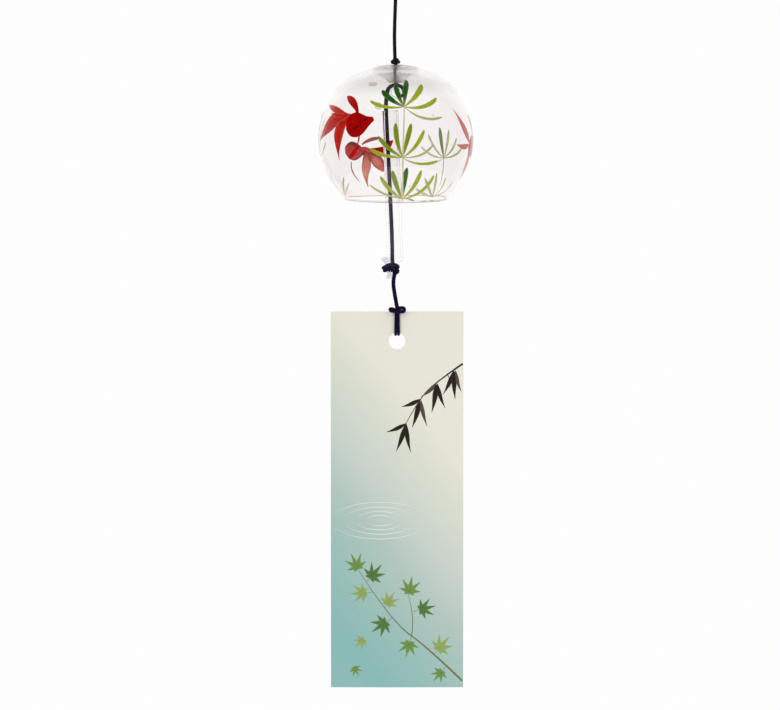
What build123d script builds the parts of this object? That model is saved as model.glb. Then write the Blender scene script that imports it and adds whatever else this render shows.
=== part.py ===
from build123d import *
import os
from math import acos, atan2, cos, hypot, pi, radians, sin, sqrt, tan

# A glass wind bell on a cord. Lengths are in millimetres, +Z is up, and +Y points away from the
# viewer who faces the paper strip. The origin is the top inside of the hanging loop, where a hook
# carries the bell. One cord runs from the loop through the crown of the glass, round a short clear
# rod inside it, down through the clapper tube, round a pinched stopper and on to the paper strip.

os.makedirs("parts", exist_ok=True)

# Cord
cord_d = 1.6            # the taut hanging cord
slack_cord_d = 1.8      # the same cord below the glass, less stretched
strand_d = 1.4          # the doubled cord through the paper
flex_gap = 0.3          # room between two stretches that flex at a joint
wrap_gap = 0.15         # room between a wrap of cord and what it goes round
turn_gap = 0.5          # room between two turns of one wrap
knot_entry = 0.9        # how far a cord runs into a knot of its own body
bend_share = 0.45       # of the shorter run beside a corner, taken up by the bend

# Hanging loop and its knot
hook_r = 3.7            # the hook or nail that the loop goes over
loop_drop = 24.2        # from the top inside of the loop down to the knot
loop_foot_spread = 2.0  # between the two legs where they enter the knot
loop_knot_r = 2.4
loop_knot_h = 3.2

# Knot above the glass
crown_knot_top = -60.4
crown_knot_r = 2.3
crown_knot_h = 2.1
crown_knot_round = 0.5
knot_glass_gap = 0.8
stub_drop = 1.8         # from the knot's underside to the ball that the glass rocks on

# Glass bell
bell_r = 40.0
bell_rise = 36.9        # from the widest level to the top
rim_r = 26.0            # outer radius at the mouth
wall = 1.2
crown_wall = 4.2
side_angle = 20.0       # where the side passes into the shoulder
crown_angle = 65.0      # where the shoulder passes into the crown
hole_r = 2.3
hole_round = 0.6
lip_root_r = 6.0        # the lip that the poked hole leaves inside the crown
lip_end_r = 3.6
lip_round = 0.4
rim_chamfer = 0.3

# Clear rod that the cord is wound on, under the crown
rod_z = -76.5
rod_r = 3.2
rod_bore_r = 2.2
rod_length = 12.0
rod_round = 0.3
hitch_start = 0.25      # the turn that it starts at, counted from the rod's right side
hitch_turns = 1.25
hitch_front_y = -0.8    # where the wrap ends, at the rod's left side

# Clapper tube
tube_r = 4.0
tube_bore_r = 2.85
tube_length = 75.5
tube_round = 0.4
tube_tilt = 1.9         # degrees from upright, leaning left at the top
tube_top_drop = 9.64    # from the rod's middle down to the tube's top
tube_top_x = -2.75
tube_y = -0.7
tube_knot_gap = 0.6     # between the tube's foot and the stopper's knot

# Stopper: the knot beside a pinched clear pipe, and the cord wound round the pipe's waist
stopper_knot_r = 2.4
stopper_knot_h = 5.8
stopper_knot_left = 0.25        # from the middle of the tube's foot
stopper_knot_away = 1.3
pipe_r = 2.1
pipe_waist_r = 1.0
pipe_wall = 0.45
pipe_length = 10.8
pipe_waist_length = 6.6
pipe_flare_length = 1.2
pipe_tilt = 16.5        # degrees from upright, leaning left at the top
pipe_left = 3.55        # from the knot's middle
pipe_away = 2.3
pipe_up = 0.2
stopper_turns = 2

# Cord below the rod: where it meets the stopper's knot, and its way on to the strip, as steps
# from there, chosen by hand
clapper_cord_lead = 3.0         # straight out of the wrap before it bends into line
clapper_foot_x = -1.75
clapper_foot_y = -0.3
strip_head_x = -0.35
strip_head_y = -0.1
strip_cord_steps = [(0, 0, 0), (-0.8, 0, -4.1), (-0.6, 0.1, -8.9), (1.05, 0.1, -16.9)]

# Paper strip
strip_w = 66.4
strip_h = 189.5
strip_t = 0.4
strip_hole_r = 4.15
strip_hole_drop = 14.9  # from the top edge to the hole's centre
strip_over_knot = 0.85  # how far the card's top edge stands below the middle of its knot

# Knot in front of the strip's top edge and the doubled cord through its hole
strip_knot_r = 1.65
left_lobe = 3.3         # the pointed end
right_lobe = 3.6        # the round end
right_lobe_r = 1.4
right_lobe_angle = 60.0 # degrees from the X axis to where the round end starts
strand_spread = 1.7     # between the middles of the two strands

# Shares of the named sizes, chosen by eye
knot_shoulder_shares = (0.82, 0.32)     # how wide and how far down the crown knot's dome bulges
left_lobe_shares = (0.55, 0.62)         # how far out and how wide the pointed lobe's middle is

# Steps in one turn of a wrap: arcs to draw it, and places to measure its gaps
turn_arcs = 4
turn_places = 48


def oval(side_r, rise):
    # a quarter oval: side arc, smaller shoulder arc and large crown arc, each tangent to the next
    a, b = radians(side_angle), radians(crown_angle)
    share = sin(a) + cos(a) * (1 - sin(b)) / cos(b)
    shoulder_r = (rise - side_r * share) / (1 - share)
    shoulder_x, shoulder_z = (side_r - shoulder_r) * cos(a), (side_r - shoulder_r) * sin(a)
    crown_r = shoulder_r + shoulder_x / cos(b)
    crown_z = shoulder_z - (crown_r - shoulder_r) * sin(b)
    return shoulder_r, shoulder_x, shoulder_z, crown_r, crown_z


def oval_arcs(side_r, rise, level, low_angle, crown_x):
    # the oval's arcs from the mouth, at low_angle below the widest level, up to radius crown_x
    shoulder_r, shoulder_x, shoulder_z, crown_r, crown_z = oval(side_r, rise)
    a, b, c = radians(side_angle), radians(crown_angle), acos(crown_x / crown_r)

    def arc(cx, cz, r, first, last):
        angles = (first, (first + last) / 2, last)
        return [(cx + r * cos(t), level + cz + r * sin(t)) for t in angles]

    return (
        arc(0, 0, side_r, -low_angle, a),
        arc(shoulder_x, shoulder_z, shoulder_r, a, b),
        arc(0, crown_z, crown_r, b, c),
    )


def cord_radii(points):
    # radius at each corner of a route, so that the bend takes up a share of the shorter run
    radii = []
    for before, corner, after in zip(points, points[1:], points[2:]):
        run_in, run_out = Vector(corner) - Vector(before), Vector(after) - Vector(corner)
        half_turn = radians(run_in.get_angle(run_out)) / 2
        radii.append(bend_share * min(run_in.length, run_out.length) / tan(half_turn))
    return radii


def winding(centre, axis, across, radius, pitch, start, turns, way):
    # a wrap as pairs of tangent arcs; start and turns are in whole turns from across, and way is
    # 1 or -1 about the axis. Gives the arcs, and functions for the place and heading at a turn
    third = axis.cross(across)

    def ring(turn):
        angle = 2 * pi * (start + way * turn)
        return across * cos(angle) + third * sin(angle)

    def place(turn):
        return centre + ring(turn) * radius + axis * (pitch * (turn - turns / 2))

    def heading(turn):
        return (axis.cross(ring(turn)) * (2 * pi * radius * way) + axis * pitch).normalized()

    arcs = []
    for i in range(round(turns * turn_arcs)):
        first, last = i / turn_arcs, (i + 1) / turn_arcs
        p, q, t, u = place(first), place(last), heading(first), heading(last)
        chord = q - p
        square, middle = 2 - 2 * t.dot(u), chord.dot(t + u)
        reach = (sqrt(middle ** 2 + square * chord.dot(chord)) - middle) / square
        t_end, u_end = p + t * reach, q - u * reach
        arcs.append((p, (t_end + u_end) / 2, t))
        arcs.append(((t_end + u_end) / 2, q, (u_end - t_end).normalized()))
    return arcs, place, heading


def tell_room(name, place, turns, wire_d):
    # least room between one turn of a wrap and the next, on places a turn apart
    spots = [i / turn_places for i in range(round((turns - 1) * turn_places) + 1)]
    apart = min((place(turn) - place(turn + 1)).length for turn in spots)
    print(f"{name}: least room between turns {apart - wire_d:.2f} mm")


def tell(name, path, solid, wire_d, count=1):
    # the tube's volume against its section times its length
    length = sum(edge.length for edge in path.edges())
    share = solid.volume / (count * length * pi * wire_d ** 2 / 4)
    print(f"{name}: path {length:.1f} mm, volume over section times length {share:.4f}")


def stacked_knot(radius, height, top):
    # a tight knot as two rolls of cord, one over the other, as a half section to revolve
    roll = height / 4
    core = radius - roll
    with BuildLine() as outline:
        Line((0, top), (core, top))
        ThreePointArc((core, top), (radius, top - roll), (core, top - 2 * roll))
        ThreePointArc((core, top - 2 * roll), (radius, top - 3 * roll), (core, top - height))
        Line((core, top - height), (0, top - height))
        Line((0, top - height), (0, top))
    return outline.line


# Hanging loop: two straight legs out of the knot, tangent to the arc over the hook
arc_r = hook_r + cord_d / 2
foot = (loop_foot_spread / 2, -loop_drop - knot_entry)
foot_reach = hypot(foot[0], hook_r + foot[1])
touch_angle = atan2(foot[1] + hook_r, foot[0]) + acos(arc_r / foot_reach)
touch = (arc_r * cos(touch_angle), arc_r * sin(touch_angle) - hook_r)
with BuildPart() as hang_loop:
    with BuildLine(Plane.XZ) as loop_path:
        Line(foot, touch)
        ThreePointArc(touch, (0, arc_r - hook_r), (-touch[0], touch[1]))
        Line((-touch[0], touch[1]), (-foot[0], foot[1]))
    with BuildSketch(loop_path.line ^ 0):
        Circle(cord_d / 2)
    sweep()
hang_loop.part.label = "hang_loop"
tell("hang_loop", loop_path.line, hang_loop.part, cord_d)
export_step(hang_loop.part, "parts/hang_loop.step")

# Knot that closes the loop
with BuildPart() as loop_knot:
    with BuildSketch(Plane.XZ):
        add(make_face(stacked_knot(loop_knot_r, loop_knot_h, -loop_drop), mode=Mode.PRIVATE))
    revolve(axis=Axis.Z)
loop_knot.part.label = "loop_knot"
export_step(loop_knot.part, "parts/loop_knot.step")

# Hanging cord: a ball at its top end, where it flexes under the knot, and a flat foot
swing_z = -loop_drop - loop_knot_h - flex_gap - cord_d / 2
cord_foot_z = crown_knot_top + flex_gap
with BuildPart() as hanging_cord:
    with BuildSketch(Plane.XZ):
        with BuildLine():
            Line((0, cord_foot_z), (cord_d / 2, cord_foot_z))
            Line((cord_d / 2, cord_foot_z), (cord_d / 2, swing_z))
            RadiusArc((cord_d / 2, swing_z), (0, swing_z + cord_d / 2), -cord_d / 2)
            Line((0, swing_z + cord_d / 2), (0, cord_foot_z))
        make_face()
    revolve(axis=Axis.Z)
hanging_cord.part.label = "hanging_cord"
export_step(hanging_cord.part, "parts/hanging_cord.step")

# Knot above the glass, with the stub that goes into the hole and ends in a ball
knot_under_z = crown_knot_top - crown_knot_h
rock_z = knot_under_z - stub_drop
stub_r = cord_d / 2
dome_wide, dome_down = knot_shoulder_shares
dome_foot_z = knot_under_z + crown_knot_round
under_r = crown_knot_r - crown_knot_round
with BuildPart() as crown_knot:
    with BuildSketch(Plane.XZ):
        with BuildLine():
            Line((0, crown_knot_top), (stub_r, crown_knot_top))
            ThreePointArc(
                (stub_r, crown_knot_top),
                (crown_knot_r * dome_wide, crown_knot_top - crown_knot_h * dome_down),
                (crown_knot_r, dome_foot_z),
            )
            RadiusArc((crown_knot_r, dome_foot_z), (under_r, knot_under_z), crown_knot_round)
            Line((under_r, knot_under_z), (stub_r, knot_under_z))
            Line((stub_r, knot_under_z), (stub_r, rock_z))
            RadiusArc((stub_r, rock_z), (0, rock_z - stub_r), stub_r)
            Line((0, rock_z - stub_r), (0, crown_knot_top))
        make_face()
    revolve(axis=Axis.Z)
crown_knot.part.label = "crown_knot"
export_step(crown_knot.part, "parts/crown_knot.step")

# Wrap of cord round the rod: from behind at the top, once round and over the front to the left
wrap_r = rod_r + wrap_gap + slack_cord_d / 2
wrap_pitch = slack_cord_d + turn_gap
hitch_mid_y = hitch_front_y + wrap_pitch * hitch_turns / 2
rod_middle = Vector(0, hitch_mid_y, rod_z)
to_front, to_right = Vector(0, -1, 0), Vector(1, 0, 0)
hitch_arcs, hitch_place, hitch_heading = winding(
    rod_middle, to_front, to_right, wrap_r, wrap_pitch, hitch_start, hitch_turns, 1
)
tell_room("toggle_hitch", hitch_place, hitch_turns, slack_cord_d)
with BuildPart() as toggle_hitch:
    with BuildLine() as hitch_path:
        for start, end, way in hitch_arcs:
            TangentArc(start, end, tangent=way)
    with BuildSketch(Plane(origin=hitch_place(0), z_dir=hitch_heading(0))):
        Circle(slack_cord_d / 2)
    sweep()
toggle_hitch.part.label = "toggle_hitch"
tell("toggle_hitch", hitch_path.line, toggle_hitch.part, slack_cord_d)
export_step(toggle_hitch.part, "parts/toggle_hitch.step")

# Glass bell: crown, shoulder and side arcs outside and inside, a poked hole and its inner lip
wrap_top_z = rod_z + wrap_r + slack_cord_d / 2
glass_top = knot_under_z - knot_glass_gap
level_z = glass_top - bell_rise
low_angle = acos(rim_r / bell_r)
rim_z = level_z - bell_r * sin(low_angle)
inner_r = bell_r - wall
inner_low_angle = acos(sqrt(inner_r ** 2 - (level_z - rim_z) ** 2) / inner_r)
lip_z = wrap_top_z + flex_gap
outer_arcs = oval_arcs(bell_r, bell_rise, level_z, low_angle, hole_r)
inner_arcs = oval_arcs(inner_r, bell_rise - crown_wall, level_z, inner_low_angle, lip_root_r)
rim_outer, rim_inner = outer_arcs[0][0], inner_arcs[0][0]
lip_root, hole_top = inner_arcs[2][2], outer_arcs[2][2]
with BuildPart() as glass_bell:
    with BuildSketch(Plane.XZ):
        with BuildLine():
            for arc in outer_arcs + inner_arcs:
                ThreePointArc(*arc)
            Line(rim_outer, rim_inner)
            Line(lip_root, (lip_end_r, lip_z))
            Line((lip_end_r, lip_z), (hole_r, lip_z))
            Line((hole_r, lip_z), hole_top)
        make_face()
    revolve(axis=Axis.Z)
    fillet(glass_bell.edges().filter_by(GeomType.CIRCLE).sort_by(Axis.Z)[-1], hole_round)
    rings = glass_bell.edges().filter_by(GeomType.CIRCLE)
    fillet([ring for ring in rings if abs(ring.center().Z - lip_z) < lip_round / 2], lip_round)
    chamfer(glass_bell.edges().filter_by(GeomType.CIRCLE).group_by(Axis.Z)[0], rim_chamfer)
glass_bell.part.label = "glass_bell"
export_step(glass_bell.part, "parts/glass_bell.step")
print(f"glass_bell: top {glass_top:.2f}, widest {level_z:.2f}, mouth {rim_z:.2f}, lip {lip_z:.2f}")

# Short stretch of cord in the hole, between the knot's ball and the wrap
with BuildPart() as hole_cord:
    with BuildSketch(Plane.XY.offset(lip_z)):
        Circle(slack_cord_d / 2)
    extrude(amount=rock_z - stub_r - flex_gap - lip_z)
hole_cord.part.label = "hole_cord"
export_step(hole_cord.part, "parts/hole_cord.step")

# Clear rod inside the crown, along +Y
with BuildPart() as crown_rod:
    with BuildSketch(Plane(origin=rod_middle, z_dir=to_front)):
        Circle(rod_r)
        Circle(rod_bore_r, mode=Mode.SUBTRACT)
    extrude(amount=rod_length / 2, both=True)
    fillet(crown_rod.edges().filter_by(GeomType.CIRCLE), rod_round)
crown_rod.part.label = "crown_rod"
export_step(crown_rod.part, "parts/crown_rod.step")

# Places of the clapper tube, the stopper's knot below it and the pinched pipe beside the knot
tube_way = Vector(-sin(radians(tube_tilt)), 0, cos(radians(tube_tilt)))
tube_foot = Vector(tube_top_x, tube_y, rod_z - tube_top_drop) - tube_way * tube_length
knot_drop = tube_knot_gap + stopper_knot_h / 2
knot_centre = tube_foot + Vector(-stopper_knot_left, stopper_knot_away, -knot_drop)
pipe_centre = knot_centre + Vector(-pipe_left, pipe_away, pipe_up)

# Cord through the clapper tube, from the end of the wrap to the stopper's knot
knot_reach = stopper_knot_h / 2 - knot_entry
clapper_cord_foot = Vector(clapper_foot_x, clapper_foot_y, knot_centre.Z + knot_reach)
wrap_end, wrap_way = hitch_place(hitch_turns), hitch_heading(hitch_turns)
clapper_cord_route = [wrap_end, wrap_end + wrap_way * clapper_cord_lead, clapper_cord_foot]
clapper_radii = cord_radii(clapper_cord_route)
with BuildPart() as clapper_cord:
    with BuildLine() as clapper_path:
        FilletPolyline(*clapper_cord_route, radius=clapper_radii)
    with BuildSketch(Plane(origin=wrap_end, z_dir=wrap_way)):
        Circle(slack_cord_d / 2)
    sweep()
clapper_cord.part.label = "clapper_cord"
print("clapper_cord: arc radii", [round(r, 1) for r in clapper_radii])
tell("clapper_cord", clapper_path.line, clapper_cord.part, slack_cord_d)
export_step(clapper_cord.part, "parts/clapper_cord.step")

# Clapper tube, open at both ends, with melted lips
with BuildPart() as clapper_tube:
    with BuildSketch(Plane(origin=tube_foot, z_dir=tube_way)):
        Circle(tube_r)
        Circle(tube_bore_r, mode=Mode.SUBTRACT)
    extrude(amount=tube_length)
    fillet(clapper_tube.edges().filter_by(GeomType.CIRCLE), tube_round)
clapper_tube.part.label = "clapper_tube"
export_step(clapper_tube.part, "parts/clapper_tube.step")

# Stopper: a short soft pipe whose waist the cord pinches
pipe_lean = radians(pipe_tilt)
pipe_way = Vector(-sin(pipe_lean), 0, cos(pipe_lean))
pipe_across = Vector(cos(pipe_lean), 0, sin(pipe_lean))
waist_end = pipe_waist_length / 2
flare_end = waist_end + pipe_flare_length
with BuildPart() as stopper_pipe:
    with BuildSketch(Plane(origin=pipe_centre, x_dir=pipe_across, z_dir=Vector(0, -1, 0))):
        with BuildLine():
            for skin in (0, pipe_wall):
                for end in (1, -1):
                    Line((pipe_waist_r - skin, 0), (pipe_waist_r - skin, end * waist_end))
                    Spline(
                        (pipe_waist_r - skin, end * waist_end),
                        (pipe_r - skin, end * flare_end),
                        tangents=[(0, end), (0, end)],
                    )
                    Line((pipe_r - skin, end * flare_end), (pipe_r - skin, end * pipe_length / 2))
            for end in (1, -1):
                Line((pipe_r - pipe_wall, end * pipe_length / 2), (pipe_r, end * pipe_length / 2))
        make_face()
    revolve(axis=Axis(pipe_centre, pipe_way))
stopper_pipe.part.label = "stopper_pipe"
export_step(stopper_pipe.part, "parts/stopper_pipe.step")

# Stopper knot: two turns round the pipe's waist and the crossing beside it
stopper_wrap_r = pipe_waist_r + wrap_gap + slack_cord_d / 2
stopper_arcs, stopper_place, stopper_heading = winding(
    pipe_centre, pipe_way, pipe_across, stopper_wrap_r, wrap_pitch, 0, stopper_turns, -1
)
tell_room("stopper_knot", stopper_place, stopper_turns, slack_cord_d)
with BuildPart() as stopper_wrap:
    with BuildLine() as stopper_path:
        for start, end, way in stopper_arcs:
            TangentArc(start, end, tangent=way)
    with BuildSketch(Plane(origin=stopper_place(0), z_dir=stopper_heading(0))):
        Circle(slack_cord_d / 2)
    sweep()
tell("stopper_wrap", stopper_path.line, stopper_wrap.part, slack_cord_d)
stopper_outline = stacked_knot(stopper_knot_r, stopper_knot_h, stopper_knot_h / 2)
with BuildPart() as stopper_knot:
    with BuildSketch(Plane(origin=knot_centre, x_dir=to_right, z_dir=to_front)):
        add(make_face(stopper_outline, mode=Mode.PRIVATE))
    revolve(axis=Axis(knot_centre, (0, 0, 1)))
    add(stopper_wrap.part)
stopper_knot.part.label = "stopper_knot"
export_step(stopper_knot.part, "parts/stopper_knot.step")

# Cord from the stopper to the strip's knot
strip_cord_head = Vector(strip_head_x, strip_head_y, knot_centre.Z - knot_reach)
strip_cord_route = [strip_cord_head + Vector(*step) for step in strip_cord_steps]
strip_radii = cord_radii(strip_cord_route)
with BuildPart() as strip_cord:
    with BuildLine() as strip_path:
        FilletPolyline(*strip_cord_route, radius=strip_radii)
    with BuildSketch(strip_path.line ^ 0):
        Circle(slack_cord_d / 2)
    sweep()
strip_cord.part.label = "strip_cord"
print("strip_cord: arc radii", [round(r, 1) for r in strip_radii])
tell("strip_cord", strip_path.line, strip_cord.part, slack_cord_d)
export_step(strip_cord.part, "parts/strip_cord.step")

# Strip knot: lobed, round about the X axis that the strip swings on
cord_end = strip_cord_route[-1]
strip_knot_centre = Vector(cord_end.X, 0, cord_end.Z - flex_gap - strip_knot_r)
left_x, left_y = left_lobe_shares
lobe_middle = right_lobe - right_lobe_r
lobe_x = right_lobe_r * cos(radians(right_lobe_angle))
lobe_z = right_lobe_r * sin(radians(right_lobe_angle))
with BuildPart() as strip_knot:
    with BuildSketch(Plane(origin=strip_knot_centre, x_dir=to_right, z_dir=to_front)):
        with BuildLine():
            ThreePointArc((-left_lobe, 0), (-left_lobe * left_x, strip_knot_r * left_y), (0, strip_knot_r))
            Line((0, strip_knot_r), (lobe_middle - lobe_x, lobe_z))
            ThreePointArc((lobe_middle - lobe_x, lobe_z), (lobe_middle + lobe_x, lobe_z), (right_lobe, 0))
            Line((right_lobe, 0), (-left_lobe, 0))
        make_face()
    revolve(axis=Axis(strip_knot_centre, (1, 0, 0)))
strip_knot.part.label = "strip_knot"
export_step(strip_knot.part, "parts/strip_knot.step")

# Paper strip: a card with a punched hole, just behind its knot
strip_y = strip_knot_r + flex_gap + strip_t / 2
strip_top = strip_knot_centre.Z - strip_over_knot
hole_z = strip_top - strip_hole_drop
strip_middle = Vector(cord_end.X, strip_y, strip_top - strip_h / 2)
with BuildPart() as paper_strip:
    with BuildSketch(Plane(origin=strip_middle, x_dir=to_right, z_dir=to_front)):
        Rectangle(strip_w, strip_h)
        with Locations((0, strip_h / 2 - strip_hole_drop)):
            Circle(strip_hole_r, mode=Mode.SUBTRACT)
    extrude(amount=strip_t / 2, both=True)
paper_strip.part.label = "paper_strip"
export_step(paper_strip.part, "parts/paper_strip.step")

# Doubled cord: each strand goes down in front of the card, through the hole and up behind it
strand_off = strip_t / 2 + wrap_gap + strand_d / 2
strand_low = hole_z + strip_hole_r - wrap_gap - strand_d / 2
strand_high = strip_top + wrap_gap + strand_d / 2
front_y, back_y = strip_y - strand_off, strip_y + strand_off
strand_start = strip_knot_centre.Z - strip_knot_r - flex_gap
with BuildPart() as strip_loop:
    for side in (-1, 1):
        with BuildLine(Plane.YZ.offset(cord_end.X + side * strand_spread / 2)) as strand_path:
            Line((front_y, strand_start), (front_y, strand_low + strand_off))
            ThreePointArc(
                (front_y, strand_low + strand_off),
                (strip_y, strand_low),
                (back_y, strand_low + strand_off),
            )
            Line((back_y, strand_low + strand_off), (back_y, strand_high - strand_off))
            RadiusArc((back_y, strand_high - strand_off), (strip_y, strand_high), -strand_off)
        with BuildSketch(strand_path.line ^ 0):
            Circle(strand_d / 2)
        sweep(path=strand_path.line)
strip_loop.part.label = "strip_loop"
tell("strip_loop", strand_path.line, strip_loop.part, strand_d, 2)
export_step(strip_loop.part, "parts/strip_loop.step")
print(f"strip: top {strip_top:.2f}, foot {strip_top - strip_h:.2f}, hole {hole_z:.2f}, y {strip_y:.2f}")
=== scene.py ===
from math import acos, asin, ceil, cos, pi, radians, sin, sqrt

import bpy
import numpy as np
from mathutils import Matrix, Vector


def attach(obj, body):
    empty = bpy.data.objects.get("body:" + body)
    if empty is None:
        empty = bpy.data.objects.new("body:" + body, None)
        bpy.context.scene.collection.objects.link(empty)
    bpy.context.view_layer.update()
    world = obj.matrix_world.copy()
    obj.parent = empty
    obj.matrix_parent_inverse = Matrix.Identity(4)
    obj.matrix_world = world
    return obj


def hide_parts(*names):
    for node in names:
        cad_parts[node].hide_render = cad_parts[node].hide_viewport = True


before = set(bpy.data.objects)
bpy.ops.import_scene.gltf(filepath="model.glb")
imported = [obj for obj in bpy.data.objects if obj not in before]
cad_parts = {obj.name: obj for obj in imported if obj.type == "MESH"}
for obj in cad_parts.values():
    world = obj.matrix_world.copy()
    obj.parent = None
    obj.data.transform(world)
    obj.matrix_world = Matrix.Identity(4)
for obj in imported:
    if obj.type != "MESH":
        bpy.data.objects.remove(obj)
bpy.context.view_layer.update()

# A painted glass wind bell on a braided cord, with a printed paper strip. Sizes and places are in
# millimetres in the CAD's frame, +Y points away from the viewer, and mesh_object() turns them into
# metres. The photograph is 780 by 710 pixels, and half a millimetre to the pixel at the cord.

MM = 0.001

# Cord
cord_d = 1.6
slack_cord_d = 1.8
knot_cord_d = 1.6
strand_d = 1.25
strand_gaps = 0.5, 0.62, 0.74   # from the strip's middle to a strand's end and its two bends
braid_strands = 4       # that run each way round the cord
braid_depth_share = 0.12
braid_roundness = 3.6
braid_dip = 0.9         # how far a strand sinks where the next one crosses it
strand_swell = 1.17     # the strands stand out over the cord's plain diameter
cord_sides = 28
cord_end_angles = 85, 65, 40, 20    # of the rings of its rounded ends
cord_step = 0.2
coil_steps = 24         # in each turn of a wrap
route_steps = 24

# Glass bell
bell_r = 40.0
bell_top = -63.3
bell_rise = 36.9
rim_r = 26.0
wall = 1.2
seen_crown_wall = 2.4   # thinner than the solid's, so that less is bent in it
funnel_r = 11.0         # the crown dips inwards round its hole from here
funnel_shares = np.linspace(0.08, 0.92, 10)
side_angle = 20.0
crown_angle = 65.0
hole_r = 2.3
hole_round = 0.6
lip_root_r = 6.0
lip_end_r = 3.6
lip_z = -71.05
rim_round = 0.35
bell_steps = 200
arc_steps = 40, 20, 16  # along the side, the shoulder and the crown

# Ground and grey places of the glass
hole_ground = 0.9       # roughness
dome_ground = 0.6
rim_ground = 0.3
rim_edge = 0.02         # height of the ground part of the rim
hole_zone = 4.0         # how far the rough hole reaches under its lip, and fades outwards
dome_r = 9.0
dome_fade = 3.0
crown_grey = 0.5
grey_z = -78.0          # the crown turns grey upwards from here
grey_fade = 8.0
rim_shade_height = 0.15       # of the painted dark line of shade along the cut rim, and its width in walls
rim_shade_walls = 1.2
uneven_height = 3.0     # of the rim that is cut off level
uneven_rim = 0.18
uneven_wall = 0.0016, 0.0010

# Rod, tube and stopper pipe
rod_centre = Vector((0, 0.64, -76.5))
rod_r = 3.2
rod_bore_r = 2.2
rod_length = 12.0
wrap_r = 4.25
wrap_pitch = 2.3
tube_top = Vector((-2.75, -0.7, -86.14))
tube_tilt = 1.9
tube_r = 4.0
tube_bore_r = 2.85
tube_length = 75.5
pipe_centre = Vector((-4.05, 2.9, -164.9))
pipe_tilt = 16.5
pipe_r = 2.1
pipe_wall = 0.45
pipe_waist_r = 1.0
pipe_length = 10.8
pipe_waist_length = 6.6
pipe_flare_length = 1.2
stopper_wrap_r = 2.05
band_tilt = 24.0        # of the two turns round the stopper
band_pitch = 1.45
rod_edge = 0.3
tube_edge = 0.5
edge_steps = 5
pinch_rows = 60
turned_steps = 64

# Strip
strip_x = 0.7
strip_y = 2.15
strip_w = 66.4
strip_h = 189.5
strip_t = 0.4
strip_top = -186.8
hole_drop = 14.9
strip_hole_r = 4.15

# Camera
photo_centre = Vector((-2.85, 0, -208.5))
photo_width = 390.0     # millimetres across the photograph at the cord
camera_distance = 3200.0
camera_pitch = radians(4.9)
eye = photo_centre + camera_distance * Vector((0, -cos(camera_pitch), sin(camera_pitch)))


def add_object(name, data):
    made = bpy.data.objects.new(name, data)
    bpy.context.scene.collection.objects.link(made)
    return made


def mesh_object(name, points, faces, material, corners=None, flat=False, **attributes):
    # a mesh from points in millimetres; corners are each face corner's UV, one after another, and
    # the attributes are a number or a colour for each point
    mesh = bpy.data.meshes.new(name)
    mesh.from_pydata((np.asarray(points, float) * MM).tolist(), [], faces)
    if corners is not None:
        layer = mesh.uv_layers.new(name="UVMap")
        layer.data.foreach_set("uv", np.asarray(corners, np.float32).ravel())
    for key, values in attributes.items():
        values = np.asarray(values, np.float32)
        if values.ndim == 1:
            layer = mesh.attributes.new(key, "FLOAT", "POINT")
            layer.data.foreach_set("value", values)
        else:
            layer = mesh.color_attributes.new(key, "FLOAT_COLOR", "POINT")
            opaque = np.column_stack([values, np.ones(len(values))])
            layer.data.foreach_set("color", opaque.astype(np.float32).ravel())
    mesh.materials.append(material)
    mesh.shade_flat() if flat else mesh.shade_smooth()
    return add_object(name, mesh)


def grid(rows, columns, round_rows=False, round_columns=False):
    # faces of a grid of points, given row by row, and their corners' shares across and along it
    faces, corners = [], []
    for row in range(rows if round_rows else rows - 1):
        for column in range(columns if round_columns else columns - 1):
            cells = [(row, column), (row, column + 1), (row + 1, column + 1), (row + 1, column)]
            faces.append([r % rows * columns + c % columns for r, c in cells])
            corners += [(c / columns, r / rows) for r, c in cells]
    return faces, corners


def close_ends(faces, corners, rows, columns, first, second):
    # adds the ends of a grid that is round, all of whose corners have the first and the second UV
    last = (rows - 1) * columns
    faces.append(list(range(columns))[::-1])
    faces.append(list(range(last, last + columns)))
    corners += [first] * columns + [second] * columns


def joined(parts):
    # several parts of (points, faces, corners, tone) as one
    points, faces, corners, tones, count = [], [], [], [], 0
    for part_points, part_faces, part_corners, part_tones in parts:
        faces += [[index + count for index in face] for face in part_faces]
        points.append(part_points)
        corners += part_corners
        tones.append(part_tones)
        count += len(part_points)
    return np.concatenate(points), faces, corners, np.concatenate(tones)


# Routes and cords
def runs_along(line):
    # how far along it each point of a line is
    return np.concatenate([[0], np.cumsum(np.linalg.norm(np.diff(line, axis=0), axis=1))])


def smooth(route, step=cord_step):
    # points at even steps along the NURBS spline whose control points are the route's
    curve = bpy.data.curves.new("route", "CURVE")
    curve.dimensions = "3D"
    curve.resolution_u = route_steps
    spline = curve.splines.new("NURBS")
    spline.points.add(len(route) - 1)
    for point, place in zip(spline.points, route):
        point.co = (*place, 1)
    spline.order_u = 3
    spline.use_endpoint_u = True
    holder = bpy.data.objects.new("route", curve)
    mesh = bpy.data.meshes.new_from_object(holder)
    line = np.array([vertex.co for vertex in mesh.vertices])
    bpy.data.meshes.remove(mesh)
    bpy.data.objects.remove(holder)
    bpy.data.curves.remove(curve)
    run = runs_along(line)
    even = np.linspace(0, run[-1], ceil(run[-1] / step) + 1)
    return np.column_stack([np.interp(even, run, line[:, axis]) for axis in range(3)])


def unit(vectors):
    return vectors / np.linalg.norm(vectors, axis=-1, keepdims=True)


def sides_along(line):
    # for each point of a line its heading and two directions square to it, carried along untwisted
    headings = unit(np.gradient(line, axis=0))
    start = np.eye(3)[np.argmin(np.abs(headings[0]))]
    firsts = []
    for heading in headings:
        start = unit(start - heading * start.dot(heading))
        firsts.append(start)
    firsts = np.array(firsts)
    return headings, firsts, np.cross(headings, firsts)


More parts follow.
